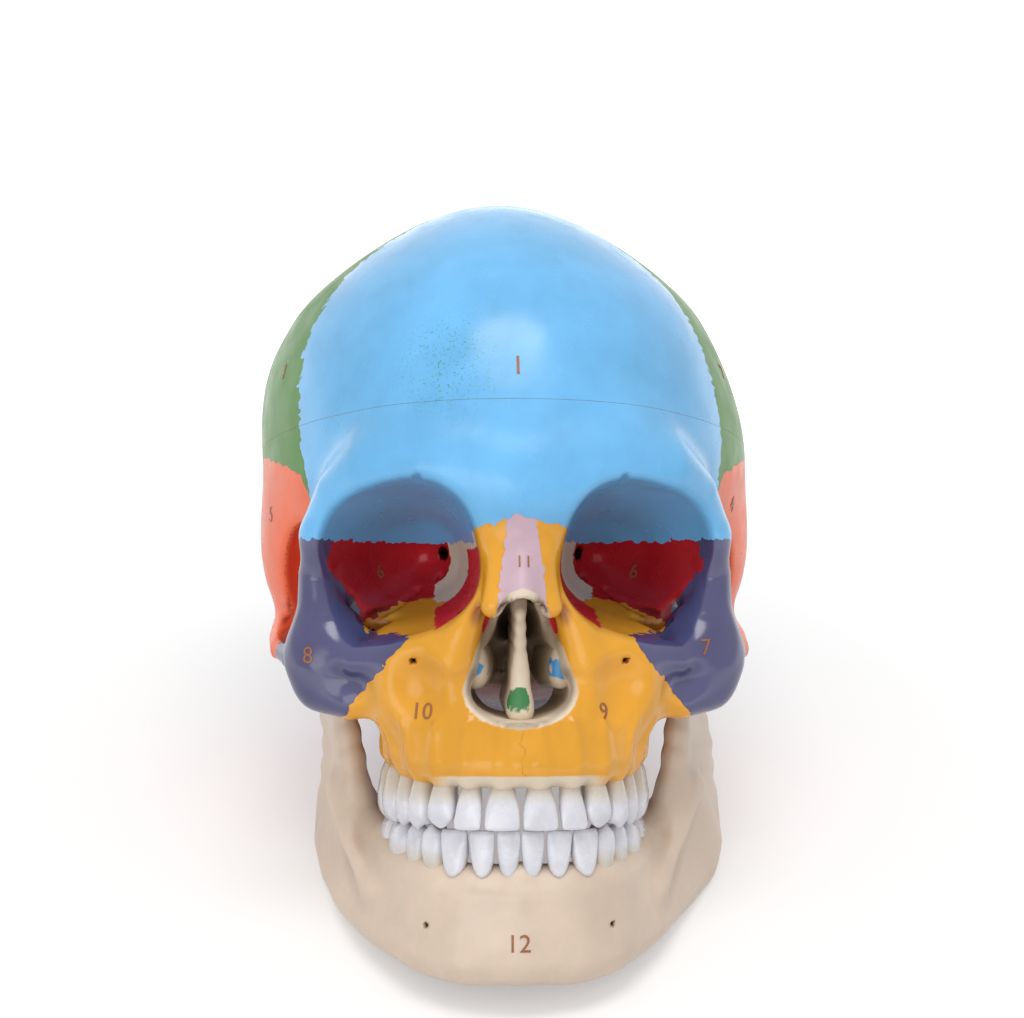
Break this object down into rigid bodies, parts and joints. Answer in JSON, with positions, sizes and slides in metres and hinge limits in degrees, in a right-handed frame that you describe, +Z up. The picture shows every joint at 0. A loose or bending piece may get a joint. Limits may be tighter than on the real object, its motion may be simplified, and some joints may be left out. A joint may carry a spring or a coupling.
{
  "type": "anatomical skull model",
  "caption": "Life-size painted teaching skull with lift-off cap, spring-hung opening jaw, separate bones and teeth, resting on the jaw corners and the back of the head.",
  "frame": {"origin": "on the floor, under the middle of the part's box", "axes": "+X to the skull's left, +Y to the back of the head, +Z up; the face looks along -Y and a little up"},
  "size_m": [0.141, 0.2262, 0.1744],
  "materials": {
    "frontal_paint": "glossy sky blue paint",
    "parietal_paint": "glossy green paint",
    "occipital_paint": "glossy violet paint",
    "temporal_paint": "glossy orange-red paint",
    "sphenoid_paint": "glossy dark red paint",
    "zygomatic_paint": "glossy dark indigo paint",
    "maxilla_paint": "glossy orange-yellow paint",
    "nasal_paint": "glossy lilac paint",
    "lacrimal_paint": "glossy red paint",
    "bare_bone": "satin ivory casting",
    "jaw_bone": "satin ivory casting",
    "tooth": "glossy cool white",
    "steel": "bright wire and screws"
  },
  "bodies": {
    "cranium": {"cap_pin_front": "steel", "cap_pin_left": "steel", "cap_pin_right": "steel", "concha_left": "bare_bone", "concha_right": "bare_bone", "ethmoid": "bare_bone", "frontal": "frontal_paint", "lacrimal_left": "lacrimal_paint", "lacrimal_right": "lacrimal_paint", "maxilla_left": "maxilla_paint", "maxilla_right": "maxilla_paint", "nasal": "nasal_paint", "occipital": "occipital_paint", "parietal_left": "parietal_paint", "parietal_right": "parietal_paint", "septum": "bare_bone", "sphenoid": "sphenoid_paint", "spring_left": "steel", "spring_right": "steel", "spring_screw_upper_left": "steel", "spring_screw_upper_right": "steel", "temporal_left": "temporal_paint", "temporal_right": "temporal_paint", "tooth_upper_1_left": "tooth", "tooth_upper_1_right": "tooth", "tooth_upper_2_left": "tooth", "tooth_upper_2_right": "tooth", "tooth_upper_3_left": "tooth", "tooth_upper_3_right": "tooth", "tooth_upper_4_left": "tooth", "tooth_upper_4_right": "tooth", "tooth_upper_5_left": "tooth", "tooth_upper_5_right": "tooth", "tooth_upper_6_left": "tooth", "tooth_upper_6_right": "tooth", "tooth_upper_7_left": "tooth", "tooth_upper_7_right": "tooth", "zygomatic_left": "zygomatic_paint", "zygomatic_right": "zygomatic_paint"},
    "cap": {"cap_frontal": "frontal_paint", "cap_occipital": "occipital_paint", "cap_parietal_left": "parietal_paint", "cap_parietal_right": "parietal_paint"},
    "jaw": {"jaw": "jaw_bone", "spring_screw_lower_left": "steel", "spring_screw_lower_right": "steel", "tooth_lower_1_left": "tooth", "tooth_lower_1_right": "tooth", "tooth_lower_2_left": "tooth", "tooth_lower_2_right": "tooth", "tooth_lower_3_left": "tooth", "tooth_lower_3_right": "tooth", "tooth_lower_4_left": "tooth", "tooth_lower_4_right": "tooth", "tooth_lower_5_left": "tooth", "tooth_lower_5_right": "tooth", "tooth_lower_6_left": "tooth", "tooth_lower_6_right": "tooth", "tooth_lower_7_left": "tooth", "tooth_lower_7_right": "tooth"}
  },
  "joints": [
    {"name": "jaw_open", "type": "hinge", "parent": "cranium", "child": "jaw", "pos_m": [0, -0.0057, 0.06041], "axis": [1, 0, 0], "range_deg": [0, 26], "stiffness_Nm_per_rad": 0.16, "springref_deg": -31.51, "deforming": ["spring_left", "spring_right"]},
    {"name": "cap_lift", "type": "slide", "parent": "cranium", "child": "cap", "axis": [0, 0.5165, 0.8563], "range_m": [0, 0.07]}
  ]
}
